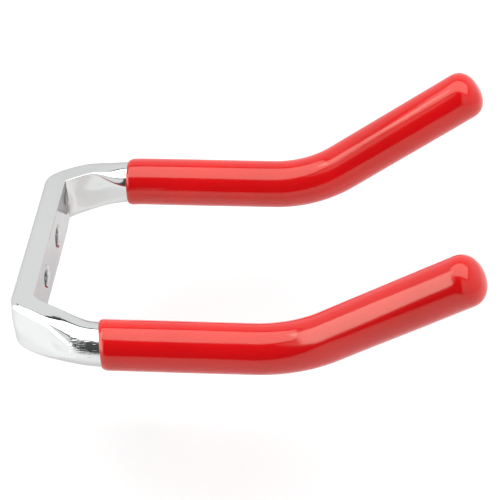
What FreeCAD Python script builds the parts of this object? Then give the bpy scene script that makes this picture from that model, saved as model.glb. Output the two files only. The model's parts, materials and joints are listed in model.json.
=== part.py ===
"""Two-arm wall hook: one bent steel tube with a soft sleeve on each arm.

Millimetres and degrees. The origin is on the wall face of the back bar, midway between the arms.
The wall is the plane Y = 0, the arms run towards -Y, and +Z is up. The right arm is at +X.

The tube's centreline, from the middle of the back bar outwards: a straight bar pressed to a
rounded rectangle, a tight corner, a long splay curve that brings the tube square to the wall,
a straight arm, an upward bend in a plane that leans outwards, and a straight tip.
"""
import FreeCAD
import Part
import math
import os

import Sketcher

SIZES = {
    # tube
    "tube_diameter": 16.0,
    "tube_wall": 1.5,
    # pressed back bar
    "bar_thickness": 8.5,
    "bar_height": 19.8,
    "bar_edge_radius": 2.5,
    # centreline in plan
    "arm_spacing": 98.0,
    "corner_radius": 5.2,
    "splay_radius": 53.0,
    "splay_angle": 37.0,
    "blend_length": 20.0,
    # arms
    "bend_distance": 89.0,
    "bend_radius": 48.0,
    "bend_angle": 34.2,
    "lean_angle": 9.4,
    "tip_length": 62.2,
    # sleeves: each lap is how far back along the splay curve the sleeve reaches
    "sleeve_wall": 1.25,
    "sleeve_end_wall": 1.6,
    "sleeve_tip_radius": 6.5,
    "sleeve_lip_radius": 0.8,
    "left_sleeve_lap": 4.0,
    "right_sleeve_lap": 7.3,
    # each lip is trimmed in its own plane, turned from square to the wall towards +X
    "left_lip_turn": 7.0,
    "right_lip_turn": 0.0,
    "lip_trim": 3.0,
    # screw holes
    "screw_spacing": 24.0,
    "screw_clearance_diameter": 5.2,
    "countersink_diameter": 9.8,
    "countersink_angle": 90.0,
}

# Places on the centreline, as expressions on the sheet. Angles along the splay curve are counted
# from the arm's direction, so 0 is where the straight arm starts.
STRAIGHT_FROM = ("(sizes.bar_thickness / 2 + sizes.corner_radius"
                 " + (sizes.splay_radius - sizes.corner_radius) * sin(sizes.splay_angle))")
BAR_HALF = ("(sizes.arm_spacing / 2 - sizes.splay_radius * (1 - cos(sizes.splay_angle))"
            " - sizes.corner_radius * cos(sizes.splay_angle))")
BLEND_ANGLE = "(sizes.splay_angle - sizes.blend_length / sizes.splay_radius * 180 / pi)"
INNER_DIAMETER = "(sizes.tube_diameter - 2 * sizes.tube_wall)"
SLEEVE_DIAMETER = "(sizes.tube_diameter + 2 * sizes.sleeve_wall)"
# The sleeve's hollow ends in a dome of its own, and the tube stops where that dome begins.
DOME_RADIUS = "(sizes.sleeve_tip_radius - sizes.sleeve_wall)"
HOLLOW_TIP_LENGTH = "(sizes.tip_length - sizes.sleeve_end_wall)"
TUBE_TIP_LENGTH = "(%s - %s)" % (HOLLOW_TIP_LENGTH, DOME_RADIUS)

RIGHT = 1
LEFT = -1
ORIGIN = -1

document = FreeCAD.newDocument("wall_hook")
sheet = document.addObject("Spreadsheet::Sheet", "sizes")
for row, (size_name, size) in enumerate(SIZES.items(), start=1):
    sheet.set("A%d" % row, size_name)
    sheet.set("B%d" % row, str(size))
    sheet.setAlias("B%d" % row, size_name)
document.recompute()


def value(expression):
    """The present number of an expression on the sheet."""
    result = sheet.evalExpression(expression.replace("sizes.", ""))
    return float(result)


def new_body(label):
    body = document.addObject("PartDesign::Body", label)
    body.Label = label
    return body


def origin_plane(body, role):
    return next(item for item in body.Origin.OriginFeatures if item.Role == role)


def new_sketch(body, name, role):
    sketch = body.newObject("Sketcher::SketchObject", name)
    sketch.AttachmentSupport = [(origin_plane(body, role), "")]
    sketch.MapMode = "FlatFace"
    return sketch


def bind(sketch, kind, *arguments):
    """Add one constraint whose last argument is an expression, and bind it to the sheet."""
    expression = arguments[-1]
    unit = "1 deg" if kind == "Angle" else "1 mm"
    number = value(expression)
    if kind == "Angle":
        number = math.radians(number)
    index = sketch.addConstraint(Sketcher.Constraint(kind, *arguments[:-1], number))
    sketch.setExpression("Constraints[%d]" % index, "(%s) * %s" % (expression, unit))


def section_sketch(body, name, x, y, turn):
    """A sketch square to the centreline at (x, y) in plan, its normal turned from -Y towards +X.

    Its own x axis lies in plan and its own y axis is +Z.
    """
    sketch = new_sketch(body, name, "XZ_Plane")
    base = FreeCAD.Vector(value(x), 0, -value(y))
    spin = FreeCAD.Rotation(FreeCAD.Vector(0, 1, 0), value(turn))
    sketch.AttachmentOffset = FreeCAD.Placement(base, spin)
    sketch.setExpression("AttachmentOffset.Base.x", "(%s) * 1 mm" % x)
    sketch.setExpression("AttachmentOffset.Base.z", "-(%s) * 1 mm" % y)
    sketch.setExpression("AttachmentOffset.Rotation.Angle", "(%s) * 1 deg" % turn)
    return sketch


def add_circle(sketch, diameter):
    circle = Part.Circle(FreeCAD.Vector(), FreeCAD.Vector(0, 0, 1), value(diameter) / 2)
    index = sketch.addGeometry(circle)
    sketch.addConstraint(Sketcher.Constraint("Coincident", index, 3, ORIGIN, 1))
    bind(sketch, "Diameter", index, diameter)


def add_eight_arcs(sketch, diameter):
    """A circle in eight equal arcs, to pair with the eight edges of a rounded rectangle."""
    span = math.pi / 4
    circle = Part.Circle(FreeCAD.Vector(), FreeCAD.Vector(0, 0, 1), value(diameter) / 2)
    for count in range(8):
        start = (count - 0.5) * span
        index = sketch.addGeometry(Part.ArcOfCircle(circle, start, start + span))
        sketch.addConstraint(Sketcher.Constraint("Coincident", index, 3, ORIGIN, 1))
        sketch.addConstraint(Sketcher.Constraint("Angle", index, span))
        if count == 0:
            bind(sketch, "Diameter", index, diameter)
            sketch.addConstraint(Sketcher.Constraint("Vertical", index, 1, index, 2))
        else:
            sketch.addConstraint(Sketcher.Constraint("Coincident", index, 1, index - 1, 2))


def add_rounded_rectangle(sketch, width, height, radius):
    """A rounded rectangle centred on the sketch's origin, eight edges from the right side up."""
    half_width = value(width) / 2
    half_height = value(height) / 2
    corner = value(radius)
    flats = []
    arcs = []
    for quarter in range(4):
        turn = FreeCAD.Rotation(FreeCAD.Vector(0, 0, 1), 90 * quarter)
        along = half_height if quarter % 2 == 0 else half_width
        out = half_width if quarter % 2 == 0 else half_height
        low = turn.multVec(FreeCAD.Vector(out, corner - along, 0))
        high = turn.multVec(FreeCAD.Vector(out, along - corner, 0))
        centre = turn.multVec(FreeCAD.Vector(out - corner, along - corner, 0))
        flats.append(sketch.addGeometry(Part.LineSegment(low, high)))
        circle = Part.Circle(centre, FreeCAD.Vector(0, 0, 1), corner)
        start = math.radians(90 * quarter)
        arcs.append(sketch.addGeometry(Part.ArcOfCircle(circle, start, start + math.pi / 2)))
    for quarter in range(4):
        following = flats[(quarter + 1) % 4]
        sketch.addConstraint(Sketcher.Constraint("Tangent", flats[quarter], 2, arcs[quarter], 1))
        sketch.addConstraint(Sketcher.Constraint("Tangent", arcs[quarter], 2, following, 1))
        direction = "Vertical" if quarter % 2 == 0 else "Horizontal"
        sketch.addConstraint(Sketcher.Constraint(direction, flats[quarter]))
        if quarter > 0:
            sketch.addConstraint(Sketcher.Constraint("Equal", arcs[0], arcs[quarter]))
    bind(sketch, "Radius", arcs[0], radius)
    bind(sketch, "DistanceX", flats[0], 1, "%s / 2" % width)
    bind(sketch, "DistanceX", flats[2], 1, "-%s / 2" % width)
    bind(sketch, "DistanceY", flats[1], 1, "%s / 2" % height)
    bind(sketch, "DistanceY", flats[3], 1, "-%s / 2" % height)


def add_pressed_section(sketch):
    """The pressed tube's outline and its hollow."""
    add_rounded_rectangle(sketch, "sizes.bar_thickness", "sizes.bar_height", "sizes.bar_edge_radius")
    add_rounded_rectangle(sketch, "(sizes.bar_thickness - 2 * sizes.tube_wall)",
                          "(sizes.bar_height - 2 * sizes.tube_wall)",
                          "(sizes.bar_edge_radius - sizes.tube_wall)")


def curve_place(side, angle):
    """Plan position and heading on the splay curve, at an angle back from the straight arm."""
    x = "%d * (sizes.arm_spacing / 2 - sizes.splay_radius * (1 - cos(%s)))" % (side, angle)
    y = "-%s + sizes.splay_radius * sin(%s)" % (STRAIGHT_FROM, angle)
    return x, y, "%d * %s" % (side, angle)


def arc_in_plan(sketch, centre_x, centre_y, radius, low, high):
    """An arc counter-clockwise from low to high degrees, fixed by two coordinates of its centre."""
    centre = FreeCAD.Vector(value(centre_x), value(centre_y), 0)
    circle = Part.Circle(centre, FreeCAD.Vector(0, 0, 1), value(radius))
    start = math.radians(value(low))
    end = math.radians(value(high))
    index = sketch.addGeometry(Part.ArcOfCircle(circle, start, end))
    bind(sketch, "DistanceX", index, 3, centre_x)
    bind(sketch, "DistanceY", index, 3, centre_y)
    bind(sketch, "Radius", index, radius)
    bind(sketch, "Angle", index, "%s - (%s)" % (high, low))
    return index


def corner_path(body):
    """The right-hand tight corner, from the end of the straight bar to the splay curve."""
    sketch = new_sketch(body, "corner_path", "XY_Plane")
    centre_y = "-(sizes.bar_thickness / 2 + sizes.corner_radius)"
    arc = arc_in_plan(sketch, BAR_HALF, centre_y, "sizes.corner_radius", "sizes.splay_angle", "90")
    sketch.addConstraint(Sketcher.Constraint("Vertical", arc, 3, arc, 2))
    return sketch


def blend_path(body):
    """The stretch of the right-hand splay curve where the pressed section turns round."""
    sketch = new_sketch(body, "blend_path", "XY_Plane")
    centre_x = "(sizes.arm_spacing / 2 - sizes.splay_radius)"
    arc = arc_in_plan(sketch, centre_x, "-" + STRAIGHT_FROM, "sizes.splay_radius",
                      BLEND_ANGLE, "sizes.splay_angle")
    bind(sketch, "DistanceY", arc, 2, "-%s + sizes.splay_radius * sin(sizes.splay_angle)" % STRAIGHT_FROM)
    return sketch


def shoulder_path(body, name, side, angle):
    """The rest of the splay curve from an angle, then the straight arm as far as its bend."""
    sketch = new_sketch(body, name, "XY_Plane")
    centre_x = "%d * (sizes.arm_spacing / 2 - sizes.splay_radius)" % side
    centre_y = "-" + STRAIGHT_FROM
    if side == RIGHT:
        arc = arc_in_plan(sketch, centre_x, centre_y, "sizes.splay_radius", "0", angle)
        square_end = 1
    else:
        arc = arc_in_plan(sketch, centre_x, centre_y, "sizes.splay_radius", "(180 - %s)" % angle, "180")
        square_end = 2
    sketch.addConstraint(Sketcher.Constraint("Horizontal", arc, 3, arc, square_end))
    x = side * value("sizes.arm_spacing / 2")
    top = FreeCAD.Vector(x, -value(STRAIGHT_FROM), 0)
    bottom = FreeCAD.Vector(x, -value("sizes.bend_distance"), 0)
    line = sketch.addGeometry(Part.LineSegment(top, bottom))
    sketch.addConstraint(Sketcher.Constraint("Coincident", line, 1, arc, square_end))
    sketch.addConstraint(Sketcher.Constraint("Vertical", line))
    bind(sketch, "DistanceY", line, 2, "-sizes.bend_distance")
    return sketch


def tip_path(body, name, side, length):
    """The upward bend and the straight tip, in a plane through the arm that leans outwards."""
    sketch = new_sketch(body, name, "YZ_Plane")
    base = FreeCAD.Vector(0, 0, side * value("sizes.arm_spacing / 2"))
    lean = FreeCAD.Rotation(FreeCAD.Vector(side, 0, 0), value("sizes.lean_angle"))
    sketch.AttachmentOffset = FreeCAD.Placement(base, lean)
    sketch.setExpression("AttachmentOffset.Base.z", "%d * sizes.arm_spacing / 2 * 1 mm" % side)
    sketch.setExpression("AttachmentOffset.Rotation.Angle", "sizes.lean_angle * 1 deg")
    arc = arc_in_plan(sketch, "-sizes.bend_distance", "sizes.bend_radius", "sizes.bend_radius",
                      "(270 - sizes.bend_angle)", "270")
    sketch.addConstraint(Sketcher.Constraint("Vertical", arc, 3, arc, 2))
    rise = math.radians(value("sizes.bend_angle"))
    radius = value("sizes.bend_radius")
    near = FreeCAD.Vector(-value("sizes.bend_distance") - radius * math.sin(rise),
                          radius * (1 - math.cos(rise)), 0)
    far = near + value(length) * FreeCAD.Vector(-math.cos(rise), math.sin(rise), 0)
    line = sketch.addGeometry(Part.LineSegment(near, far))
    sketch.addConstraint(Sketcher.Constraint("Tangent", arc, 1, line, 1))
    bind(sketch, "Distance", line, length)
    return sketch


def checked(feature, name):
    """Recompute, and stop if the feature failed."""
    document.recompute()
    if "Invalid" in feature.State or "Error" in feature.State or feature.Shape.isNull():
        raise RuntimeError("%s failed: %s" % (name, feature.State))
    return feature


def pipe(body, name, profile, path, kind="AdditivePipe", end_profile=None):
    """Sweep a section along a path, turning it into the end section where one is given."""
    feature = body.newObject("PartDesign::" + kind, name)
    feature.Profile = (profile, [""])
    edges = ["Edge%d" % (count + 1) for count in range(len(path.Shape.Edges))]
    feature.Spine = (path, edges)
    if end_profile is not None:
        feature.Transformation = "Multisection"
        feature.Sections = [(end_profile, [""])]
    return checked(feature, name)


def ring_sketch(body, name, x, y, turn):
    """The round tube's section: outside and hollow."""
    sketch = section_sketch(body, name, x, y, turn)
    add_circle(sketch, "sizes.tube_diameter")
    add_circle(sketch, INNER_DIAMETER)
    return sketch


def bend_place(side):
    """Plan position and heading where an arm starts to bend upwards."""
    return "%d * sizes.arm_spacing / 2" % side, "-sizes.bend_distance", "0"


def make_bracket():
    """The bent tube, open at both ends, with two countersunk holes through its pressed bar."""
    body = new_body("tube_bracket")
    middle_y = "-sizes.bar_thickness / 2"

    bar_profile = section_sketch(body, "bar_profile", "0", middle_y, "90")
    add_pressed_section(bar_profile)
    bar = body.newObject("PartDesign::Pad", "pressed_bar")
    bar.Profile = bar_profile
    bar.SideType = "Symmetric"
    bar.setExpression("Length", "2 * %s * 1 mm" % BAR_HALF)
    checked(bar, "pressed_bar")

    corner_profile = section_sketch(body, "corner_profile", BAR_HALF, middle_y, "90")
    add_pressed_section(corner_profile)
    corner_route = corner_path(body)
    document.recompute()
    corner = pipe(body, "corner", corner_profile, corner_route)

    blend_start = section_sketch(body, "blend_start", *curve_place(RIGHT, "sizes.splay_angle"))
    add_pressed_section(blend_start)
    blend_end = section_sketch(body, "blend_end", *curve_place(RIGHT, BLEND_ANGLE))
    add_eight_arcs(blend_end, "sizes.tube_diameter")
    add_eight_arcs(blend_end, INNER_DIAMETER)
    blend_route = blend_path(body)
    document.recompute()
    blend = pipe(body, "blend", blend_start, blend_route, end_profile=blend_end)

    shoulder_profile = ring_sketch(body, "shoulder_profile", *curve_place(RIGHT, BLEND_ANGLE))
    shoulder_route = shoulder_path(body, "shoulder_path", RIGHT, BLEND_ANGLE)
    document.recompute()
    shoulder = pipe(body, "shoulder", shoulder_profile, shoulder_route)

    tip_profile = ring_sketch(body, "tip_profile", *bend_place(RIGHT))
    tip_route = tip_path(body, "tip_path", RIGHT, TUBE_TIP_LENGTH)
    document.recompute()
    tip = pipe(body, "tip", tip_profile, tip_route)

    mirrored = body.newObject("PartDesign::Mirrored", "left_half")
    mirrored.Originals = [corner, blend, shoulder, tip]
    mirrored.MirrorPlane = (origin_plane(body, "YZ_Plane"), [""])
    body.Tip = mirrored
    checked(mirrored, "left_half")

    screw_sketch = section_sketch(body, "screw_places", "0", "-sizes.bar_thickness", "0")
    for side in (LEFT, RIGHT):
        centre = FreeCAD.Vector(side * value("sizes.screw_spacing / 2"), 0, 0)
        radius = value("sizes.screw_clearance_diameter") / 2
        index = screw_sketch.addGeometry(Part.Circle(centre, FreeCAD.Vector(0, 0, 1), radius))
        screw_sketch.addConstraint(Sketcher.Constraint("PointOnObject", index, 3, ORIGIN))
        bind(screw_sketch, "DistanceX", index, 3, "%d * sizes.screw_spacing / 2" % side)
        bind(screw_sketch, "Diameter", index, "sizes.screw_clearance_diameter")
    document.recompute()
    holes = body.newObject("PartDesign::Hole", "screw_holes")
    holes.Profile = screw_sketch
    holes.DepthType = "ThroughAll"
    holes.HoleCutType = "Countersink"
    holes.HoleCutCustomValues = True
    holes.setExpression("Diameter", "sizes.screw_clearance_diameter * 1 mm")
    holes.setExpression("HoleCutDiameter", "sizes.countersink_diameter * 1 mm")
    holes.setExpression("HoleCutCountersinkAngle", "sizes.countersink_angle * 1 deg")
    checked(holes, "screw_holes")
    if holes.Shape.Volume >= mirrored.Shape.Volume - 1:
        raise RuntimeError("the screw holes cut nothing")
    body.Tip = holes
    return body


def round_edges(body, name, centre, normal, beyond, radius):
    """Fillet the edges that lie in one plane, further from its centre than a given radius."""
    base = body.Tip
    names = []
    for count, edge in enumerate(base.Shape.Edges, start=1):
        points = edge.discretize(5)
        in_plane = all(abs((point - centre).dot(normal)) < 1e-3 for point in points)
        if in_plane and all(point.distanceToPoint(centre) > value(beyond) for point in points):
            names.append("Edge%d" % count)
    if not names:
        raise RuntimeError("%s found no edge at %s" % (name, centre))
    fillet = body.newObject("PartDesign::Fillet", name)
    fillet.Base = (base, names)
    fillet.setExpression("Radius", "%s * 1 mm" % radius)
    return checked(fillet, name)


def sweep_along_arm(body, prefix, kind, side, lap, diameter, length):
    """Sweep a circle along an arm, from a lap on the splay curve to the tip.

    Returns the centre of the far end and the heading there.
    """
    start_angle = "(%s / sizes.splay_radius * 180 / pi)" % lap
    arm_profile = section_sketch(body, prefix + "_arm_profile", *curve_place(side, start_angle))
    add_circle(arm_profile, diameter)
    arm_route = shoulder_path(body, prefix + "_arm_path", side, start_angle)
    document.recompute()
    pipe(body, prefix + "_arm", arm_profile, arm_route, kind)
    tip_profile = section_sketch(body, prefix + "_tip_profile", *bend_place(side))
    add_circle(tip_profile, diameter)
    tip_route = tip_path(body, prefix + "_tip_path", side, length)
    document.recompute()
    pipe(body, prefix + "_tip", tip_profile, tip_route, kind)
    straight = tip_route.Geometry[1]
    near = tip_route.Placement.multVec(straight.StartPoint)
    far = tip_route.Placement.multVec(straight.EndPoint)
    return far, (far - near).normalize()


def make_sleeve(label, side, lap, lip_turn):
    """A soft sleeve, bored to fit the tube, with a domed end inside and out and a rounded lip."""
    body = new_body(label)
    spare_lap = "(%s + sizes.lip_trim)" % lap
    tip, heading = sweep_along_arm(body, "outside", "AdditivePipe", side, spare_lap,
                                   SLEEVE_DIAMETER, "sizes.tip_length")
    outside_volume = body.Shape.Volume
    hollow_end, heading = sweep_along_arm(body, "hollow", "SubtractivePipe", side, spare_lap,
                                          "sizes.tube_diameter", HOLLOW_TIP_LENGTH)
    if body.Shape.Volume > 0.5 * outside_volume:
        raise RuntimeError("the hollow of %s cut too little" % label)
    round_edges(body, "hollow_dome", hollow_end, heading, "sizes.tube_diameter / 4", DOME_RADIUS)
    round_edges(body, "rounded_tip", tip, heading, "sizes.tube_diameter / 4", "sizes.sleeve_tip_radius")

    lap_angle = "(%s / sizes.splay_radius * 180 / pi)" % lap
    lip_x, lip_y = curve_place(side, lap_angle)[:2]
    lip_sketch = section_sketch(body, "lip_plane", lip_x, lip_y, lip_turn)
    add_circle(lip_sketch, "2 * %s" % SLEEVE_DIAMETER)
    document.recompute()
    untrimmed_volume = body.Shape.Volume
    trim = body.newObject("PartDesign::Pocket", "lip_trimming")
    trim.Profile = lip_sketch
    trim.setExpression("Length", "3 * sizes.lip_trim * 1 mm")
    checked(trim, "lip_trimming")
    if trim.Shape.Volume >= untrimmed_volume - 1:
        raise RuntimeError("the lip of %s was not trimmed" % label)
    lip_normal = lip_sketch.Placement.Rotation.multVec(FreeCAD.Vector(0, 0, 1))
    round_edges(body, "rounded_lip", lip_sketch.Placement.Base, lip_normal,
                "(sizes.tube_diameter + sizes.sleeve_wall) / 2", "sizes.sleeve_lip_radius")
    return body


bodies = [
    make_bracket(),
    make_sleeve("left_sleeve", LEFT, "sizes.left_sleeve_lap", "sizes.left_lip_turn"),
    make_sleeve("right_sleeve", RIGHT, "sizes.right_sleeve_lap", "sizes.right_lip_turn"),
]
document.recompute()

for item in document.Objects:
    if "Invalid" in item.State or "Error" in item.State:
        raise RuntimeError("%s is in state %s" % (item.Label, item.State))
for body in bodies:
    if body.Shape.isNull() or not body.Shape.isValid() or len(body.Shape.Solids) != 1:
        raise RuntimeError("%s has no single valid solid" % body.Label)

os.makedirs("parts", exist_ok=True)
for body in bodies:
    body.Shape.exportStep("parts/%s.step" % body.Label)
    box = body.Shape.BoundBox
    print("%s: %.0f mm3, x %.2f to %.2f, y %.2f to %.2f, z %.2f to %.2f"
          % (body.Label, body.Shape.Volume, box.XMin, box.XMax, box.YMin, box.YMax, box.ZMin, box.ZMax))
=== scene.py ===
"""Looks for a two-arm wall hook: one bent chromed tube with a soft red sleeve on each arm.

Metres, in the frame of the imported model: the origin is on the wall face of the back bar, midway
between the arms, which run towards -Y, and +Z is up. Places along the tube are given as a distance
from the middle of the back bar, counted along the centreline, and are negative on the left.
"""

import json
import math

import bmesh
import bpy
from bpy.props import FloatProperty, FloatVectorProperty, PointerProperty
from bpy.types import Operator, Panel, PropertyGroup
from mathutils import Matrix, Quaternion, Vector, noise


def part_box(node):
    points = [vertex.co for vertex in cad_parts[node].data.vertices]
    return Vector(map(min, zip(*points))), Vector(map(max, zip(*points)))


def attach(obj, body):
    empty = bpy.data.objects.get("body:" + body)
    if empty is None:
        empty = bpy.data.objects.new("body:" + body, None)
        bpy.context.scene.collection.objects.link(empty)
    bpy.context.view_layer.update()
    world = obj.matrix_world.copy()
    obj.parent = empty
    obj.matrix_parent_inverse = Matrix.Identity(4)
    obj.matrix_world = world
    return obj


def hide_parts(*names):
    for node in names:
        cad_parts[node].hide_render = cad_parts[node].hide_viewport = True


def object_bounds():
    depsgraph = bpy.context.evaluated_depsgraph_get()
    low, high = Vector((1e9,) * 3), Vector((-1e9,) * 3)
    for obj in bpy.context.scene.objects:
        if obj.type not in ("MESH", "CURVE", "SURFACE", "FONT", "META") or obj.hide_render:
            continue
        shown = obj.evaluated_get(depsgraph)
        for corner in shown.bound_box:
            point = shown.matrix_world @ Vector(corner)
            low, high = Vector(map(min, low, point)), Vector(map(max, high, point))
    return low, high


bl_info = {
    "name": "Two-arm wall hook",
    "version": (1, 0, 0),
    "blender": (4, 5, 0),
    "location": "3D View > Sidebar > Hook",
    "description": "Chromed tube, soft sleeves, floor, lights and camera for a two-arm wall hook",
    "category": "Object",
}

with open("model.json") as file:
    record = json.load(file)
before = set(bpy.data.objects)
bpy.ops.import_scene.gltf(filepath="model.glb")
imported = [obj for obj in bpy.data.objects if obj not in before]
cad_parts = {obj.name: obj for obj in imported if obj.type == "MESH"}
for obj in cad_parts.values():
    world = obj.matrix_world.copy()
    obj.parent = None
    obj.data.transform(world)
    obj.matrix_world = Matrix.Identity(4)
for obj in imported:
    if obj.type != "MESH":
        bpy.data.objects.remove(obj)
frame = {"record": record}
CAD_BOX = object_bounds()

LEFT = -1
RIGHT = 1
MM = 0.001

BRACKET_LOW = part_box("tube_bracket")[0]
MOUNTS = {mount["name"]: mount for mount in frame["record"]["mounts"]}
SCREW_HOLES = MOUNTS["screw_holes"]["dims"]


# ---------------------------------------------------------------- settings

def length(name, description, default):
    """A size in metres that can't be negative."""
    return FloatProperty(name=name, description=description, default=default, min=0.0,
                         precision=5, subtype="DISTANCE", unit="LENGTH")


def angle(name, description, degrees):
    return FloatProperty(name=name, description=description, default=math.radians(degrees),
                         subtype="ANGLE", unit="ROTATION")


def share(name, description, default):
    return FloatProperty(name=name, description=description, default=default, min=0.0, max=1.0,
                         subtype="FACTOR")


def colour(name, description, default):
    return FloatVectorProperty(name=name, description=description, default=default, size=3,
                               min=0.0, max=1.0, subtype="COLOR")


class TubeSizes(PropertyGroup):
    """The bent tube, from the middle of its back bar outwards."""
    diameter: length("Tube diameter", "Outside of the round tube", 0.016)
    wall: length("Tube wall", "Thickness of the tube's wall", 0.0015)
    bar_thickness: length("Bar thickness", "Pressed bar, from the wall to its front", 0.0085)
    bar_height: length("Bar height", "Pressed bar, from bottom to top", -2 * BRACKET_LOW.z)
    outer_edge: length("Outer edge radius", "Rounded edges of the bar beside the wall", 0.0025)
    inner_edge: length("Inner edge radius", "Tighter edges of the bar's front", 0.0004)
    arm_spacing: length("Arm spacing", "Between the centrelines of the two arms", 0.098)
    corner_radius: length("Corner radius", "Centreline of the tight corner", 0.0052)
    splay_radius: length("Splay radius", "Centreline of the long curve after the corner", 0.053)
    splay_angle: angle("Splay angle", "How far the long curve turns", 37.0)
    blend_start: length("Blend start", "On the splay curve, where the section starts to turn round", 0.002)
    blend_length: length("Blend length", "Along which the section turns round", 0.020)
    late_blend: length("Late blend", "How much later the upper side turns round", 0.008)
    flat_length: length("Flat length", "How far the front keeps a pressed flat", 0.033)
    corner_edge: length("Corner edge radius", "Lower front edge at the corners", 0.0040)
    corner_swell: length("Corner swell", "How far the pressed corners bulge", 0.0008)
    corner_fill: length("Corner fill", "How far metal fills the inside of a corner", 0.00080)
    fill_reach: length("Fill reach", "How far the fill runs past the corner's ends", 0.0035)
    bend_distance: length("Bend distance", "From the wall to the start of the upward bend", 0.089)
    bend_radius: length("Bend radius", "Centreline of the upward bend", 0.048)
    bend_angle: angle("Bend angle", "Rise of the tip over the arm", 34.2)
    lean_angle: angle("Lean angle", "Outward lean of each bend's plane", 9.4)
    tip_length: length("Tip length", "Straight tip, from the bend to the sleeve's end", 0.0622)
    press_marks: length("Press marks", "Depth of the unevenness that the pressing left", 0.00018)


class ScrewSizes(PropertyGroup):
    """The two countersunk holes through the back bar."""
    spacing: length("Screw spacing", "Between the two holes", SCREW_HOLES["spacing_x_mm"] * MM)
    radius: length("Hole radius", "Clearance hole", SCREW_HOLES["hole_r_mm"] * MM)
    countersink_radius: length("Countersink radius", "Countersink at the bar's front", 0.0049)
    rim: length("Rim radius", "Plating rounds the countersink's rim", 0.0005)


class SleeveSizes(PropertyGroup):
    """The soft sleeves."""
    wall: length("Sleeve wall", "Thickness on the tube", 0.00125)
    end_wall: length("End wall", "Thickness at the closed end", 0.0016)
    lip: length("Lip", "Height of the open end's rounding", 0.0011)
    lip_length: length("Lip length", "How far the open end is rounded", 0.0024)
    dome: length("Dome length", "How far the closed end is rounded back", 0.0072)
    left_lap: length("Left lap", "How far the left sleeve reaches up the splay curve", 0.0040)
    right_lap: length("Right lap", "How far the right sleeve reaches up the splay curve", 0.0073)
    left_turn: angle("Left lip turn", "Slant of the left lip in plan", 7.0)
    right_turn: angle("Right lip turn", "Slant of the right lip in plan", 0.0)
    ripple: length("Ripple", "Unevenness of the dipped skin", 0.00005)


class Finishes(PropertyGroup):
    """Colours of the two finishes and the floor."""
    chrome: colour("Chrome", "Reflectance of the plating", (0.655, 0.665, 0.66))
    chrome_haze: colour("Chrome haze", "Reflectance where the plating is cloudy", (0.61, 0.62, 0.615))
    chrome_edge: colour("Chrome edge tint", "Reflectance at a glancing angle", (0.72, 0.69, 0.70))
    # Darker colour in the screw holes: painted shade of the hollow, together with unplated steel.
    bare_steel_and_shade: colour("Bare steel", "Reflectance inside the screw holes", (0.10, 0.10, 0.10))
    chrome_polish: share("Chrome roughness", "Roughness of the clean plating", 0.06)
    red: colour("Red", "The sleeves' vinyl", (0.555, 0.0020, 0.0042))
    deep_red: colour("Deep red", "The vinyl where it is thicker", (0.49, 0.0016, 0.0035))
    vinyl_sheen: colour("Vinyl gloss tint", "Colour of the vinyl's gloss", (1.0, 0.95, 0.80))
    vinyl_gloss: share("Vinyl roughness", "Roughness of the clean vinyl", 0.13)
    floor: colour("Floor", "The plain floor", (0.745, 0.755, 0.755))


class StudioSizes(PropertyGroup):
    """Camera, lights and floor."""
    camera_distance: length("Camera distance", "From the point that it aims at", 0.67893)
    camera_azimuth: angle("Camera azimuth", "View direction, from +X towards +Y", 6.71)
    camera_elevation: angle("Camera elevation", "Height of the camera over the arms", 38.56)
    camera_roll: angle("Camera roll", "Tilt about the view direction", 2.82)
    aim_across: FloatProperty(name="Aim across", description="Aim beside the middle of the arms",
                              default=-0.01604, unit="LENGTH")
    aim_up: FloatProperty(name="Aim up", description="Aim above the middle of the arms",
                          default=0.00555, unit="LENGTH")
    aim_distance: length("Aim distance", "From the wall to the point between the arms", 0.1)
    lens: FloatProperty(name="Lens", description="Focal length on a 36 mm sensor",
                        default=130.58, min=1.0, subtype="DISTANCE_CAMERA")
    floor_gap: length("Floor gap", "From the hook's lowest point down to the floor", 0.05)
    softbox_height: length("Softbox height", "Top softbox above the wall holes", 0.80)
    softbox_width: length("Softbox width", "Top softbox across the arms", 0.90)
    softbox_length: length("Softbox length", "Top softbox along the arms", 1.60)
    softbox_rim: length("Softbox rim", "Dark edge round the top softbox", 0.12)
    curtain_front: FloatProperty(name="Curtain front", description="Dark curtain's end past the tips",
                                 default=-0.16, unit="LENGTH")
    curtain_back: FloatProperty(name="Curtain back", description="Dark curtain's end behind the wall",
                                default=0.24, unit="LENGTH")
    side_near: FloatVectorProperty(name="Side light, near end", size=2, default=(-0.94, 0.78),
                                   description="Side softbox's end on the camera's side")
    side_far: FloatVectorProperty(name="Side light, far end", size=2, default=(0.03, 0.28),
                                  description="Side softbox's end behind the wall")
    side_height: length("Side light height", "Height of the side softbox", 0.56)
    bounce_x: FloatProperty(name="Bounce across", description="Middle of the light on the floor",
                            default=-0.07, unit="LENGTH")
    bounce_y: FloatProperty(name="Bounce behind", description="Middle of the light on the floor",
                            default=0.08, unit="LENGTH")
    bounce_width: length("Bounce width", "Light on the floor, across the arms", 0.24)
    bounce_length: length("Bounce length", "Light on the floor, along the arms", 0.13)


class HookSettings(PropertyGroup):
    """All the sizes and colours of the hook and its studio."""
    tube: PointerProperty(type=TubeSizes)
    screws: PointerProperty(type=ScrewSizes)
    sleeves: PointerProperty(type=SleeveSizes)
    finishes: PointerProperty(type=Finishes)
    studio: PointerProperty(type=StudioSizes)


# ---------------------------------------------------------------- centreline

def smooth_step(low, high, number):
    """0 below low, 1 above high, and a smooth rise between."""
    rise = min(max((number - low) / (high - low), 0.0), 1.0)
    return rise * rise * (3.0 - 2.0 * rise)


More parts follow.
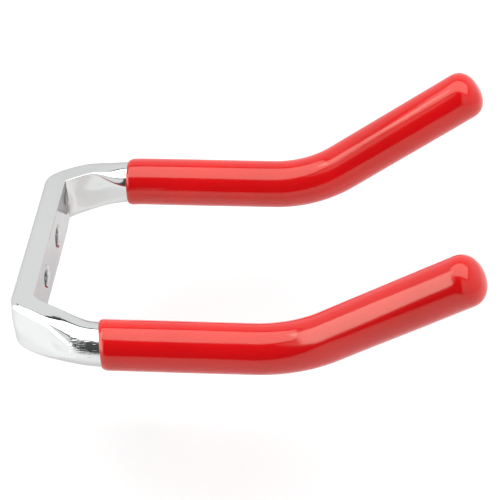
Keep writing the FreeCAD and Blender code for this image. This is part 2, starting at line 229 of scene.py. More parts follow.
class Centreline:
    """The tube's centreline and the directions square to it, by distance from the bar's middle."""

    def __init__(self, tube):
        half = tube.arm_spacing / 2
        turn = tube.splay_angle
        self.tube = tube
        self.bar_half = (half - tube.splay_radius * (1 - math.cos(turn))
                         - tube.corner_radius * math.cos(turn))
        self.straight_y = (tube.bar_thickness / 2 + tube.corner_radius
                           + (tube.splay_radius - tube.corner_radius) * math.sin(turn))
        self.splay = self.bar_half + tube.corner_radius * (math.pi / 2 - turn)
        self.straight = self.splay + tube.splay_radius * turn
        self.bend = self.straight + tube.bend_distance - self.straight_y
        self.tip = self.bend + tube.bend_radius * tube.bend_angle
        self.end = self.tip + tube.tip_length

    def in_plan(self, centre_x, centre_y, radius, heading):
        """A place on an arc in plan, where the heading is turned back from -Y towards +X."""
        outward = Vector((math.cos(heading), math.sin(heading), 0.0))
        return Vector((centre_x, centre_y, 0.0)) + radius * outward, outward, Vector((0.0, 0.0, 1.0))

    def on_right(self, distance):
        """Centre, outward direction and upward direction on the right half."""
        tube = self.tube
        up = Vector((0.0, 0.0, 1.0))
        if distance <= self.bar_half:
            return Vector((distance, -tube.bar_thickness / 2, 0.0)), Vector((0.0, 1.0, 0.0)), up
        if distance <= self.splay:
            heading = math.pi / 2 - (distance - self.bar_half) / tube.corner_radius
            centre_y = -(tube.bar_thickness / 2 + tube.corner_radius)
            return self.in_plan(self.bar_half, centre_y, tube.corner_radius, heading)
        half = tube.arm_spacing / 2
        if distance <= self.straight:
            heading = (self.straight - distance) / tube.splay_radius
            return self.in_plan(half - tube.splay_radius, -self.straight_y, tube.splay_radius, heading)
        if distance <= self.bend:
            run = distance - self.straight
            return Vector((half, -self.straight_y - run, 0.0)), Vector((1.0, 0.0, 0.0)), up
        lean = tube.lean_angle
        rise = min((distance - self.bend) / tube.bend_radius, tube.bend_angle)
        forward = Vector((0.0, -1.0, 0.0))
        raised = Vector((math.sin(lean), 0.0, math.cos(lean)))
        aside = Vector((math.cos(lean), 0.0, -math.sin(lean)))
        centre = (Vector((half, -tube.bend_distance, 0.0))
                  + tube.bend_radius * math.sin(rise) * forward
                  + tube.bend_radius * (1 - math.cos(rise)) * raised)
        heading = math.cos(rise) * forward + math.sin(rise) * raised
        raised = math.cos(rise) * raised - math.sin(rise) * forward
        centre += max(distance - self.tip, 0.0) * heading
        outward = math.cos(lean) * aside + math.sin(lean) * raised
        return centre, outward, math.cos(lean) * raised - math.sin(lean) * aside

    def at(self, distance):
        """The same on either half: the left half is the mirror image of the right."""
        vectors = self.on_right(abs(distance))
        if distance >= 0:
            return vectors
        return tuple(Vector((-v.x, v.y, v.z)) for v in vectors)


def spaced(low, high, step):
    """Even distances from low up to high, without high itself."""
    count = max(1, round((high - low) / step))
    return [low + (high - low) * index / count for index in range(count)]


# ---------------------------------------------------------------- mesh helpers

# Edges sharper than these stay crisp.
BRACKET_CREASE = math.radians(32)
SLEEVE_CREASE = math.radians(60)
PLAIN_CREASE = math.radians(30)


def loft(mesh, rings):
    """Join rings of vertices, each as long as the last, with rows of four-sided faces."""
    for first, second in zip(rings, rings[1:]):
        for index in range(len(first)):
            following = (index + 1) % len(first)
            mesh.faces.new((first[index], first[following], second[following], second[index]))


def fan(mesh, ring, point):
    """Close a ring of vertices with triangles to one point."""
    middle = mesh.verts.new(point)
    for index in range(len(ring)):
        mesh.faces.new((ring[index], ring[(index + 1) % len(ring)], middle))


def finish_mesh(mesh, name, sharp_angle):
    """Turn a bmesh into a smooth object whose edges over sharp_angle stay crisp."""
    bmesh.ops.recalc_face_normals(mesh, faces=mesh.faces)
    data = bpy.data.meshes.new(name)
    mesh.to_mesh(data)
    mesh.free()
    data.shade_smooth()
    data.set_sharp_from_angle(angle=sharp_angle)
    piece = bpy.data.objects.new(name, data)
    bpy.context.scene.collection.objects.link(piece)
    return piece


# ---------------------------------------------------------------- bracket

# Faces along the section's tall flats, its short flats and each rounded edge.
FLAT_ALONG_HEIGHT = 14
FLAT_ACROSS = 5
EDGE_STEPS = 8
EIGHTH = math.pi / 4

# Distances between the rings of vertices. The closest go a margin past each end of the tight corners.
CORNER_MARGIN = 4 * MM
BAR_STEP = 1.2 * MM
CORNER_STEP = 0.3 * MM
SPLAY_STEP = 0.8 * MM
ARM_STEP = 3 * MM
BEND_STEP = 1.5 * MM
TIP_STEP = 4 * MM

# The pressed section: its tightest edge, how far before the corner its lower front edge starts to
# widen, and how soft the flat's border is.
TIGHTEST_EDGE = 0.3 * MM
EDGE_LEAD = 6 * MM
FLAT_SOFTNESS = 0.25 * MM
# Round the section, the inner side comes in between these cosines, and the upper between these sines.
INNER_SIDE = (-0.3, 0.5)
UPPER_SIDE = (-0.2, 0.4)
# The share of the late blend that the whole upper side takes, and what its inner part adds.
UPPER_LATENESS = 0.8
INNER_LATENESS = 0.2

# The press's marks, as distances past a corner's end, and how coarse the unevenness is.
SWELL_MIDDLE = 1 * MM
SWELL_SPREAD = 5 * MM
MARKS_RISE = (-10 * MM, -1 * MM)
MARKS_FADE = (12 * MM, 24 * MM)
BROAD_MARKS = 90.0
FINE_MARKS = 300.0
FINE_SHIFT = Vector((7.0, 3.0, 1.0))
FINE_SHARE = 0.4

# The cutter for a screw hole: its steps, the turns of its rounded rim in degrees, and how far it
# reaches past the rim, the bar's front and the wall face.
HOLE_STEPS = 64
RIM_TURNS = (6, 14, 22, 30, 38, 45)
CUTTER_SHOULDER = 2 * MM
CUTTER_HEAD = 1 * MM
CUTTER_LIFT = 0.2 * MM
CUTTER_TAIL = 1 * MM


def section_parameters():
    """Where each vertex of the section lies: quarter, flat or edge, and share along it."""
    parameters = []
    for quarter in range(4):
        steps = FLAT_ALONG_HEIGHT if quarter % 2 == 0 else FLAT_ACROSS
        parameters += [(quarter, "flat", index / steps) for index in range(steps)]
        parameters += [(quarter, "edge", index / EDGE_STEPS) for index in range(EDGE_STEPS)]
    return parameters


def pressed_point(quarter, part, along, half_width, half_height, edges):
    """A point on the pressed section: outward distance and height."""
    out = half_width if quarter % 2 == 0 else half_height
    reach = half_height if quarter % 2 == 0 else half_width
    before, after = edges[quarter - 1], edges[quarter]
    if part == "flat":
        local = Vector((out, (before - reach) * (1 - along) + (reach - after) * along))
    else:
        turn = along * math.pi / 2
        local = Vector((out - after + after * math.cos(turn), reach - after + after * math.sin(turn)))
    quarter_turn = (Vector((local.x, local.y)), Vector((-local.y, local.x)),
                    Vector((-local.x, -local.y)), Vector((local.y, -local.x)))
    return quarter_turn[quarter]


def round_angle(quarter, part, along):
    """The angle of the same vertex once the section is round."""
    start = 2 * quarter - 0.5 if part == "flat" else 2 * quarter + 0.5
    return (start + along) * EIGHTH


def pressed_flat(tube, line, distance):
    """How far the pressed front face lies from the centreline."""
    held = smooth_step(line.splay, line.splay + tube.flat_length, abs(distance))
    return tube.bar_thickness / 2 + (tube.diameter / 2 - tube.bar_thickness / 2) * held


def tube_section(tube, line, distance, inset):
    """The section's points at one place; inset is 0 outside and the wall inside."""
    centre, outward, up = line.at(distance)
    run = abs(distance)
    at_corner = smooth_step(line.bar_half - EDGE_LEAD, line.splay, run)
    lower_front = tube.inner_edge + (tube.corner_edge - tube.inner_edge) * at_corner
    edges = [max(radius - inset, TIGHTEST_EDGE) for radius in
             (tube.outer_edge, tube.inner_edge, lower_front, tube.outer_edge)]
    radius = tube.diameter / 2 - inset
    start = line.splay + tube.blend_start
    turned = smooth_step(start, start + tube.blend_length, run)
    late_end = start + tube.blend_length + tube.late_blend / 2
    turned_late = smooth_step(start + tube.late_blend, late_end, run)
    front = pressed_flat(tube, line, distance) - inset
    points = []
    for quarter, part, along in section_parameters():
        pressed = pressed_point(quarter, part, along, tube.bar_thickness / 2 - inset,
                                tube.bar_height / 2 - inset, edges)
        turn = round_angle(quarter, part, along)
        circle = Vector((radius * math.cos(turn), radius * math.sin(turn)))
        inner_side = smooth_step(*INNER_SIDE, -math.cos(turn))
        late = smooth_step(*UPPER_SIDE, math.sin(turn)) * (UPPER_LATENESS + INNER_LATENESS * inner_side)
        roundness = turned + (turned_late - turned) * late
        flat = pressed.lerp(circle, roundness)
        flat.x = softer_maximum(flat.x, -front, FLAT_SOFTNESS * roundness)
        points.append(centre + flat.x * outward + flat.y * up)
    return points


def softer_maximum(first, second, softness):
    """The larger of two numbers, rounded where they are nearly equal."""
    gap = first - second
    return (first + second + math.sqrt(gap * gap + 4 * softness * softness)) / 2


def press_mark(tube, line, distance, point, outward):
    """How far the press moved the skin at the corners: a swell outside, a fill inside, ripples."""
    centre = line.at(distance)[0]
    past_corner = abs(distance) - line.splay
    away = (point - centre).normalized()
    outer_side = max(away.dot(outward), 0.0)
    inner_side = max(-away.dot(outward), 0.0)
    swell = tube.corner_swell * outer_side * math.exp(-((past_corner - SWELL_MIDDLE) / SWELL_SPREAD) ** 2)
    beyond = max(past_corner, line.bar_half - abs(distance), 0.0)
    swell += tube.corner_fill * inner_side * max(0.0, 1 - beyond / tube.fill_reach) ** 2
    strength = smooth_step(*MARKS_RISE, past_corner) * (1 - smooth_step(*MARKS_FADE, past_corner))
    broad = noise.noise(point * BROAD_MARKS)
    fine = noise.noise(point * FINE_MARKS + FINE_SHIFT)
    return away * (swell + tube.press_marks * strength * (broad + FINE_SHARE * fine))


def bracket_mesh(tube, sleeves):
    """The hollow tube from the left tip to the right tip, before its holes are cut."""
    line = Centreline(tube)
    end = line.end - sleeves.end_wall - sleeves.dome + sleeves.wall
    fine_from = line.bar_half - CORNER_MARGIN
    fine_to = line.splay + CORNER_MARGIN
    stretches = ((0.0, fine_from, BAR_STEP), (fine_from, fine_to, CORNER_STEP),
                 (fine_to, line.straight, SPLAY_STEP), (line.straight, line.bend, ARM_STEP),
                 (line.bend, line.tip, BEND_STEP), (line.tip, end, TIP_STEP))
    half = [distance for stretch in stretches for distance in spaced(*stretch)] + [end]
    places = [-distance for distance in reversed(half[1:])] + half
    mesh = bmesh.new()
    outside = []
    inside = []
    for distance in places:
        outward = line.at(distance)[1]
        outside.append([mesh.verts.new(point + press_mark(tube, line, distance, point, outward))
                        for point in tube_section(tube, line, distance, 0.0)])
        inside.append([mesh.verts.new(point) for point in tube_section(tube, line, distance, tube.wall)])
    loft(mesh, outside)
    loft(mesh, inside)
    loft(mesh, [outside[0], inside[0]])
    loft(mesh, [outside[-1], inside[-1]])
    return mesh


def screw_cutter(tube, screws, x):
    """A countersunk hole's own shape, turned about a line square to the wall."""
    face = -tube.bar_thickness
    tangent = screws.countersink_radius + screws.rim * math.tan(math.pi / 8)
    head_radius = tangent + CUTTER_SHOULDER
    profile = [(head_radius, face - CUTTER_HEAD), (head_radius, face - CUTTER_LIFT)]
    for degrees in RIM_TURNS:
        turn = math.radians(degrees)
        profile.append((tangent - screws.rim * math.sin(turn),
                        face + screws.rim * (1 - math.cos(turn))))
    profile.append((screws.radius, face + screws.countersink_radius - screws.radius))
    profile.append((screws.radius, CUTTER_TAIL))
    mesh = bmesh.new()
    rings = []
    for radius, y in profile:
        ring = []
        for index in range(HOLE_STEPS):
            turn = 2 * math.pi * index / HOLE_STEPS
            ring.append(mesh.verts.new((x + radius * math.cos(turn), y, radius * math.sin(turn))))
        rings.append(ring)
    loft(mesh, rings)
    fan(mesh, rings[0], (x, profile[0][1], 0.0))
    fan(mesh, rings[-1], (x, profile[-1][1], 0.0))
    return finish_mesh(mesh, "screw_cutter", PLAIN_CREASE)


def cut(piece, cutter):
    """Take the cutter's shape out of the piece, and delete the cutter."""
    modifier = piece.modifiers.new("cut", "BOOLEAN")
    modifier.operation = "DIFFERENCE"
    modifier.solver = "EXACT"
    modifier.object = cutter
    evaluated = piece.evaluated_get(bpy.context.evaluated_depsgraph_get())
    cut_data = bpy.data.meshes.new_from_object(evaluated)
    piece.modifiers.clear()
    piece.data = cut_data
    bpy.data.objects.remove(cutter)


# ---------------------------------------------------------------- sleeves

ROUND_STEPS = 72

# Distances between the rings: near the lip, which ends a margin past the splay curve, on the straight
# arm, in the bend and on the tip.
LIP_MARGIN = 4 * MM
LIP_STEP = 1 * MM
SLEEVE_ARM_STEP = 2 * MM
SLEEVE_BEND_STEP = 1.2 * MM
SLEEVE_TIP_STEP = 2 * MM

# The bore is a hair narrower than the tube, so no gap shows, and its open end is eased.
BORE_GRIP = 0.02 * MM
BORE_EASING = 0.15 * MM
# How far from the lip its slant dies out, how fine the dipped skin's unevenness is along and round
# the sleeve, and what sets the two sleeves' patterns apart.
SLANT_REACH = 16 * MM
RIPPLES_ALONG = 45.0
RIPPLES_ROUND = 1.6
RIPPLES_SHIFT = 5.0


def dome_profile(radius, dome, end):
    """Distances and radii of a closed end, from its rim to just before its middle."""
    power = 2.35
    steps = 14
    profile = []
    for index in range(steps):
        turn = math.pi / 2 * index / steps
        profile.append((end - dome + dome * math.sin(turn) ** (2 / power),
                        radius * math.cos(turn) ** (2 / power)))
    return profile


def sleeve_profile(tube, sleeves, line, start):
    """The sleeve's closed outline from the outer pole back to the lip and in to the inner pole."""
    outer = tube.diameter / 2 + sleeves.wall
    bore = tube.diameter / 2 - BORE_GRIP
    outside = [(start + sleeves.lip_length * (1 - math.sin(math.radians(turn))),
                outer - sleeves.lip * (1 - math.cos(math.radians(turn))))
               for turn in range(90, -1, -10)]
    along = spaced(start + sleeves.lip_length, line.straight + LIP_MARGIN, LIP_STEP)[1:]
    along += spaced(line.straight + LIP_MARGIN, line.bend, SLEEVE_ARM_STEP)
    along += spaced(line.bend, line.tip, SLEEVE_BEND_STEP)
    along += spaced(line.tip, line.end - sleeves.dome, SLEEVE_TIP_STEP)
    outside += [(distance, outer) for distance in along]
    outside += dome_profile(outer, sleeves.dome, line.end)
    inner_dome = sleeves.dome - sleeves.wall
    hollow_end = line.end - sleeves.end_wall
    inside = [(start, bore + BORE_EASING), (start + BORE_EASING, bore)]
    inside += [(distance, bore) for distance in along[1:] if distance < hollow_end - inner_dome]
    inside += dome_profile(bore, inner_dome, hollow_end)
    return list(reversed(outside)) + inside


def sleeve_mesh(tube, sleeves, side, lap, lip_turn):
    line = Centreline(tube)
    start = line.straight - lap
    slant = math.tan(lap / tube.splay_radius - side * lip_turn)
    outline = sleeve_profile(tube, sleeves, line, start)
    outer = tube.diameter / 2 + sleeves.wall
    mesh = bmesh.new()
    rings = []
    for distance, radius in outline:
        ring = []
        settle = 1 - smooth_step(start, start + SLANT_REACH, distance)
        for index in range(ROUND_STEPS):
            turn = 2 * math.pi * index / ROUND_STEPS
            shifted = distance + slant * settle * radius * math.cos(turn)
            centre, outward, up = line.at(side * shifted)
            away = math.cos(turn) * outward + math.sin(turn) * up
            point = centre + radius * away
            if radius > tube.diameter / 2:
                swell = noise.noise(Vector((distance * RIPPLES_ALONG, RIPPLES_ROUND * math.cos(turn),
                                            RIPPLES_ROUND * math.sin(turn) + RIPPLES_SHIFT * side)))
                point += sleeves.ripple * swell * (radius / outer) * away
            ring.append(mesh.verts.new(point))
        rings.append(ring)
    loft(mesh, rings)
    fan(mesh, rings[0], line.at(side * line.end)[0])
    fan(mesh, rings[-1], line.at(side * (line.end - sleeves.end_wall))[0])
    return mesh


# ---------------------------------------------------------------- shader helpers

class Socket:
    """An output socket that can stand in ordinary sums; each sum adds a Math node."""

    def __init__(self, graph, output):
        self.graph = graph
        self.output = output

    def maths(self, operation, *values):
        return self.graph.add("ShaderNodeMath", {"operation": operation}, dict(enumerate(values)))

    def __add__(self, other):
        return self.maths("ADD", self, other)

    __radd__ = __add__

    def __sub__(self, other):
        return self.maths("SUBTRACT", self, other)

    def __rsub__(self, other):
        return self.maths("SUBTRACT", other, self)

    def __mul__(self, other):
        return self.maths("MULTIPLY", self, other)

    __rmul__ = __mul__


class Graph:
    """A material's nodes."""

    def __init__(self, name):
        self.material = bpy.data.materials.new(name)
        self.material.use_nodes = True
        self.tree = self.material.node_tree
        self.tree.nodes.clear()

    def add(self, kind, settings=None, inputs=None, output=0):
        """Add a node: its settings first, then its sockets' values or links. Gives one output."""
        node = self.tree.nodes.new(kind)
        for name, setting in (settings or {}).items():
            setattr(node, name, setting)
        for key, value in (inputs or {}).items():
            socket = node.inputs[key] if isinstance(key, int) else self.find(node.inputs, key)
            if isinstance(value, Socket):
                self.tree.links.new(value.output, socket)
            else:
                socket.default_value = value
        if not node.outputs:
            return None
        if isinstance(output, int):
            return Socket(self, node.outputs[output])
        return Socket(self, self.find(node.outputs, output))

    @staticmethod
    def find(sockets, key):
        """A socket by its identifier or its name."""
        return next(s for s in sockets if key in (s.identifier, s.name))

    def place(self, stretch=(1.0, 1.0, 1.0)):
        """The point's place on the object, stretched along the axes."""
        coordinates = self.add("ShaderNodeTexCoord", output="Object")
        return self.add("ShaderNodeVectorMath", {"operation": "MULTIPLY"},
                        {0: coordinates, 1: stretch})

    def split(self, vector):
        """The three numbers of a vector."""
        node = self.add("ShaderNodeSeparateXYZ", None, {"Vector": vector}).output.node
        return tuple(Socket(self, output) for output in node.outputs)

    def noise(self, place, scale, detail=2.0, roughness=0.5, distortion=0.0):
        inputs = {"Vector": place, "Scale": scale, "Detail": detail, "Roughness": roughness,
                  "Distortion": distortion}
        return self.add("ShaderNodeTexNoise", None, inputs, "Fac")

    def between(self, value, low, high):
        """0 below low, 1 above high, and a smooth rise between."""
        return self.add("ShaderNodeMapRange", {"interpolation_type": "SMOOTHSTEP"},
                        {"Value": value, "From Min": low, "From Max": high})

    def mix_colour(self, factor, first, second):
        return self.add("ShaderNodeMix", {"data_type": "RGBA"},
                        {"Factor_Float": factor, "A_Color": opaque(first), "B_Color": opaque(second)},
                        "Result_Color")

    def bump(self, height, distance, strength=1.0, normal=None):
        inputs = {"Height": height, "Distance": distance, "Strength": strength}
        if normal is not None:
            inputs["Normal"] = normal
        return self.add("ShaderNodeBump", None, inputs, "Normal")

    def finish(self, inputs):
        """The surface shader and the material's output."""
        shader = self.add("ShaderNodeBsdfPrincipled", None, inputs)
        self.add("ShaderNodeOutputMaterial", None, {"Surface": shader})
        return self.material


def opaque(value):
    """A colour with full alpha. A socket stays as it is."""
    return value if isinstance(value, Socket) else (*value, 1.0)


# ---------------------------------------------------------------- materials

# Depths of the skins' unevenness.
DRAWN_DEPTH = 0.16 * MM
PEEL_DEPTH = 0.010 * MM
PIT_DEPTH = 0.008 * MM
RIPPLE_DEPTH = 0.040 * MM
SKIN_DEPTH = 0.006 * MM
SPECK_DEPTH = 0.020 * MM
GRAIN_DEPTH = 0.02 * MM

# What each kind of wear adds to the roughness.
SMUDGE_DULLING = 0.05
STREAK_DULLING = 0.07
HAZE_DULLING = 0.03
PATCH_DULLING = 0.08
SPECK_DULLING = 0.15

VINYL_IOR = 1.54
GRAIN_SHADE = 0.98
CLOTH = (0.03, 0.03, 0.03)
CLOTH_NAP = (0.05, 0.05, 0.05)

# The drawn lines fade in and out over these places: along the arms, in height and across.
LINES_BEGIN = (-0.040, -0.034)
LINES_END = (-0.026, -0.020)
LINES_FOOT = (-0.003, -0.001)
LINES_TOP = (0.005, 0.007)
LINES_SIDE = (0.046, 0.052)


def recess_shade_mask(graph, tube, screws):
    """Where the painted shade and unplated steel go: 1 in the screw holes and, within the countersink's
    radius, on the wall face, and 0 elsewhere.
    """
    across, along, height = graph.split(graph.place())
    aside = across.maths("ABSOLUTE", across) - screws.spacing / 2
    squared = aside * aside + height * height
    rim_squared = screws.countersink_radius ** 2
    near = 1 - graph.between(squared, low=0.9 * rim_squared, high=1.05 * rim_squared)
    front = -tube.bar_thickness
    return near * graph.between(along, low=front + 0.2 * MM, high=front + 1.2 * MM)


def shoulder_mask(graph):
    """1 on the outer sides of the arms' shoulders, where the bending die left drawn lines."""
    across, along, height = graph.split(graph.place())
    run = graph.between(along, *LINES_BEGIN) * (1 - graph.between(along, *LINES_END))
    level = graph.between(height, *LINES_FOOT) * (1 - graph.between(height, *LINES_TOP))
    return run * level * graph.between(across.maths("ABSOLUTE", across), *LINES_SIDE)


def chrome_material(finishes, tube, screws):
    """Bright plating: haze, smudges, scratches, orange peel, drawn lines, and painted shade with unplated
    steel at the holes.
    """
    graph = Graph("chrome_plate")
    place = graph.place()
    haze = graph.between(graph.noise(place, scale=38.0, detail=3.0), low=0.45, high=0.75)
    wiped = graph.noise(place, scale=85.0, detail=4.0, roughness=0.6, distortion=0.8)
    smudge = graph.between(wiped, low=0.52, high=0.80)
    scratches = graph.noise(graph.place((1.0, 1.0, 26.0)), scale=90.0, detail=3.0, roughness=0.7)
    streaks = graph.between(scratches, low=0.60, high=0.85)
    peel = graph.noise(place, scale=420.0)
    drawn = graph.noise(graph.place((1.0, 0.03, 1.0)), scale=1500.0, roughness=0.6) * shoulder_mask(graph)
    # Painted shade in the screw holes, together with unplated steel: a darker colour in patches.
    steel_and_shade_patches = graph.between(graph.noise(place, scale=500.0), low=0.25, high=0.60)
    recess_steel_and_shade = recess_shade_mask(graph, tube, screws) * steel_and_shade_patches
    pits = graph.between(graph.noise(place, scale=1500.0, detail=1.0), low=0.70, high=0.80)
    normal = graph.bump(drawn, DRAWN_DEPTH)
    normal = graph.bump(peel, PEEL_DEPTH, normal=normal)
    normal = graph.bump(pits, PIT_DEPTH, strength=0.6, normal=normal)
    plated = graph.mix_colour(haze, finishes.chrome, finishes.chrome_haze)
    return graph.finish({
        "Base Color": graph.mix_colour(recess_steel_and_shade, plated, finishes.bare_steel_and_shade),
        "Metallic": 1.0,
        "Specular Tint": opaque(finishes.chrome_edge),
        "Roughness": (finishes.chrome_polish + SMUDGE_DULLING * smudge + STREAK_DULLING * streaks
                      + HAZE_DULLING * haze),
        "Normal": normal,
    })


def vinyl_material(finishes):
    """Soft glossy vinyl: slightly uneven colour, dip ripples, a fine skin and a few dull patches."""
    graph = Graph("red_vinyl")
    place = graph.place()
    depth = graph.between(graph.noise(place, scale=30.0, detail=3.0), low=0.35, high=0.70)
    rubbed = graph.noise(place, scale=70.0, detail=4.0, roughness=0.65, distortion=0.6)
    dull = graph.between(rubbed, low=0.55, high=0.80)
    ripples = graph.noise(graph.place((1.0, 0.45, 1.0)), scale=130.0, roughness=0.4)
    skin = graph.noise(place, scale=900.0)
    specks = graph.between(graph.noise(place, scale=1100.0, detail=0.0), low=0.84, high=0.90)
    normal = graph.bump(ripples, RIPPLE_DEPTH)
    normal = graph.bump(skin, SKIN_DEPTH, normal=normal)
    normal = graph.bump(specks, SPECK_DEPTH, strength=0.6, normal=normal)
    return graph.finish({
        "Base Color": graph.mix_colour(depth, finishes.red, finishes.deep_red),
        "Roughness": finishes.vinyl_gloss + PATCH_DULLING * dull + SPECK_DULLING * specks,
        "IOR": VINYL_IOR,
        "Specular Tint": opaque(finishes.vinyl_sheen),
        "Normal": normal,
    })


def floor_material(finishes):
    """Plain matt paper with a hardly visible grain."""
    graph = Graph("pale_floor")
    place = graph.place()
    grain = graph.noise(place, scale=900.0)
    pale = tuple(GRAIN_SHADE * channel for channel in finishes.floor)
    return graph.finish({
        "Base Color": graph.mix_colour(grain, finishes.floor, pale),
        "Roughness": 0.9,
        "Normal": graph.bump(grain, GRAIN_DEPTH),
    })


def dark_cloth_material():
    """Black studio cloth."""
    graph = Graph("dark_cloth")
    nap = graph.noise(graph.place(), scale=600.0)
    return graph.finish({
        "Base Color": graph.mix_colour(nap, CLOTH, CLOTH_NAP),
        "Roughness": 1.0,
    })


# ---------------------------------------------------------------- operators

class HOOK_OT_bracket(Operator):
    """Build the bent chromed tube with its two screw holes"""
    bl_idname = "hook.bracket"
    bl_label = "Tube bracket"

    def execute(self, context):
        settings = context.scene.hook
        piece = finish_mesh(bracket_mesh(settings.tube, settings.sleeves), "bracket", BRACKET_CREASE)
        for side in (LEFT, RIGHT):
            cut(piece, screw_cutter(settings.tube, settings.screws, side * settings.screws.spacing / 2))
        piece.data.shade_smooth()
        piece.data.set_sharp_from_angle(angle=BRACKET_CREASE)
        piece.data.materials.clear()
        piece.data.materials.append(chrome_material(settings.finishes, settings.tube, settings.screws))
        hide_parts("tube_bracket")
        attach(piece, "root")
        return {"FINISHED"}


class HOOK_OT_sleeves(Operator):
    """Build the two soft sleeves"""
    bl_idname = "hook.sleeves"
    bl_label = "Sleeves"

    def execute(self, context):
        settings = context.scene.hook
        sleeves = settings.sleeves
        vinyl = vinyl_material(settings.finishes)
        for name, node, side, lap, turn in (
                ("sleeve_left", "left_sleeve", LEFT, sleeves.left_lap, sleeves.left_turn),
                ("sleeve_right", "right_sleeve", RIGHT, sleeves.right_lap, sleeves.right_turn)):
            mesh = sleeve_mesh(settings.tube, sleeves, side, lap, turn)
            piece = finish_mesh(mesh, name, SLEEVE_CREASE)
            piece.data.materials.append(vinyl)
            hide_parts(node)
            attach(piece, "root")
        return {"FINISHED"}


# Brightness of the softboxes, and how far the one on the floor stands above it.
TOP_BRIGHTNESS = 3.2
SIDE_BRIGHTNESS = 3.6
BOUNCE_BRIGHTNESS = 0.14
BOUNCE_LIFT = 2 * MM
# How far the floor reaches each way, and the gap between the top softbox and the dark cards.
FLOOR_REACH = 12.0
CARD_GAP = 0.01
CARD_CORNERS = ((-1, -1), (1, -1), (1, 1), (-1, 1))
SURROUND_COLOUR = (0.99, 1.0, 0.995, 1.0)
SURROUND_STRENGTH = 1.05
SENSOR_WIDTH = 36.0


def flat_card(name, corners, material):
    """A four-cornered card for the stage."""
    mesh = bmesh.new()
    mesh.faces.new([mesh.verts.new(corner) for corner in corners])
    card = finish_mesh(mesh, name, PLAIN_CREASE)
    card.data.materials.append(material)
    return card


def make_floor(settings):
    level = CAD_BOX[0].z - settings.studio.floor_gap
    corners = [(x * FLOOR_REACH, y * FLOOR_REACH, level) for x, y in CARD_CORNERS]
    flat_card("floor", corners, floor_material(settings.finishes))
    return level


def soft_light(name, centre, facing, width, height, brightness):
    """A rectangular softbox of one brightness, facing along a direction."""
    light = bpy.data.lights.new(name, "AREA")
    light.shape = "RECTANGLE"
    light.size = width
    light.size_y = height
    light.energy = brightness * math.pi * width * height
    softbox = bpy.data.objects.new(name, light)
    softbox.location = centre
    softbox.rotation_euler = facing.to_track_quat("-Z", "Y").to_euler()
    softbox.visible_camera = False
    bpy.context.scene.collection.objects.link(softbox)
    return softbox


def make_lights(studio, middle, level):
    """A broad softbox overhead, and two that only gloss shows.

    One is low at the side, behind the wall face, and a faint one lies on the floor.
    """
    soft_light("top_softbox", Vector((middle.x, middle.y, studio.softbox_height)), Vector((0, 0, -1)),
               studio.softbox_width, studio.softbox_length, TOP_BRIGHTNESS)
    near, far = Vector((*studio.side_near, level)), Vector((*studio.side_far, level))
    along = far - near
    facing = along.cross(Vector((0.0, 0.0, 1.0))).normalized()
    centre = (near + far) / 2 + Vector((0.0, 0.0, studio.side_height / 2))
    side = soft_light("side_softbox", centre, facing, along.length, studio.side_height, SIDE_BRIGHTNESS)
    side.visible_diffuse = False
    bounce_centre = Vector((studio.bounce_x, studio.bounce_y, level + BOUNCE_LIFT))
    bounce = soft_light("bounce", bounce_centre, Vector((0, 0, 1)), studio.bounce_width,
                        studio.bounce_length, BOUNCE_BRIGHTNESS)
    bounce.visible_diffuse = False


def make_dark_cards(studio, middle, level):
    """A dark curtain on the camera's side and the top softbox's dark rim, unseen by the camera."""
    cloth = dark_cloth_material()
    x = middle.x - studio.softbox_width / 2
    top = studio.softbox_height - CARD_GAP
    cards = [flat_card("curtain", [(x, studio.curtain_front, level), (x, studio.curtain_back, level),
                                   (x, studio.curtain_back, top), (x, studio.curtain_front, top)],
                       cloth)]
    height = studio.softbox_height + CARD_GAP
    across = studio.softbox_width / 2 + studio.softbox_rim
    along = studio.softbox_length / 2 + studio.softbox_rim
    corners = [(middle.x + x * across, middle.y + y * along, height) for x, y in CARD_CORNERS]
    cards.append(flat_card("softbox_rim", corners, cloth))
    for card in cards:
        card.visible_camera = False


def make_surround():
    """An even, pale surround."""
    world = bpy.data.worlds.new("surround")
    world.use_nodes = True
    background = world.node_tree.nodes["Background"]
    background.inputs["Color"].default_value = SURROUND_COLOUR
    background.inputs["Strength"].default_value = SURROUND_STRENGTH
    bpy.context.scene.world = world


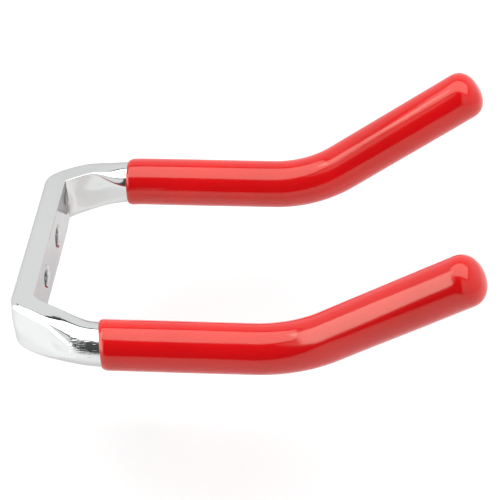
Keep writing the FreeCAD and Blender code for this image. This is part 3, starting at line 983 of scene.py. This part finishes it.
def make_camera(studio):
    """A long lens from the left of the arms, looking down on them."""
    azimuth, elevation, roll = studio.camera_azimuth, studio.camera_elevation, studio.camera_roll
    view = Vector((math.cos(azimuth) * math.cos(elevation), math.sin(azimuth) * math.cos(elevation),
                   -math.sin(elevation)))
    level_right = Vector((math.sin(azimuth), -math.cos(azimuth), 0.0))
    level_up = level_right.cross(view)
    aim = (Vector((0.0, -studio.aim_distance, 0.0)) + studio.aim_across * level_right
           + studio.aim_up * level_up)
    right = Quaternion(view, roll) @ level_right
    up = right.cross(view)
    data = bpy.data.cameras.new("camera")
    data.sensor_width = SENSOR_WIDTH
    data.lens = studio.lens
    camera = bpy.data.objects.new("camera", data)
    rotation = Matrix((right, up, -view)).transposed().to_4x4()
    camera.matrix_world = Matrix.Translation(aim - studio.camera_distance * view) @ rotation
    bpy.context.scene.collection.objects.link(camera)
    bpy.context.scene.camera = camera


class HOOK_OT_stage(Operator):
    """Build the floor, the soft lights, the dark cards and the camera"""
    bl_idname = "hook.stage"
    bl_label = "Stage"

    def execute(self, context):
        settings = context.scene.hook
        middle = (CAD_BOX[0] + CAD_BOX[1]) / 2
        level = make_floor(settings)
        make_lights(settings.studio, middle, level)
        make_dark_cards(settings.studio, middle, level)
        make_surround()
        make_camera(settings.studio)
        context.scene.view_settings.view_transform = "Standard"
        return {"FINISHED"}


# ---------------------------------------------------------------- sidebar and registration

class HOOK_PT_sidebar(Panel):
    """Sizes, colours and build buttons for the hook"""
    bl_idname = "HOOK_PT_sidebar"
    bl_label = "Two-arm wall hook"
    bl_space_type = "VIEW_3D"
    bl_region_type = "UI"
    bl_category = "Hook"

    def draw(self, context):
        settings = context.scene.hook
        for operator in OPERATORS:
            self.layout.operator(operator.bl_idname)
        for group in (settings.tube, settings.screws, settings.sleeves, settings.finishes,
                      settings.studio):
            box = self.layout.box()
            for name in group.bl_rna.properties.keys():
                if name not in ("rna_type", "name"):
                    box.prop(group, name)


GROUPS = (TubeSizes, ScrewSizes, SleeveSizes, Finishes, StudioSizes, HookSettings)
OPERATORS = (HOOK_OT_bracket, HOOK_OT_sleeves, HOOK_OT_stage)
CLASSES = GROUPS + OPERATORS + (HOOK_PT_sidebar,)


def register():
    for item in CLASSES:
        bpy.utils.register_class(item)
    bpy.types.Scene.hook = PointerProperty(type=HookSettings)


def unregister():
    del bpy.types.Scene.hook
    for item in reversed(CLASSES):
        bpy.utils.unregister_class(item)


def main():
    register()
    bpy.ops.hook.bracket()
    bpy.ops.hook.sleeves()
    bpy.ops.hook.stage()


if __name__ == "__main__":
    main()
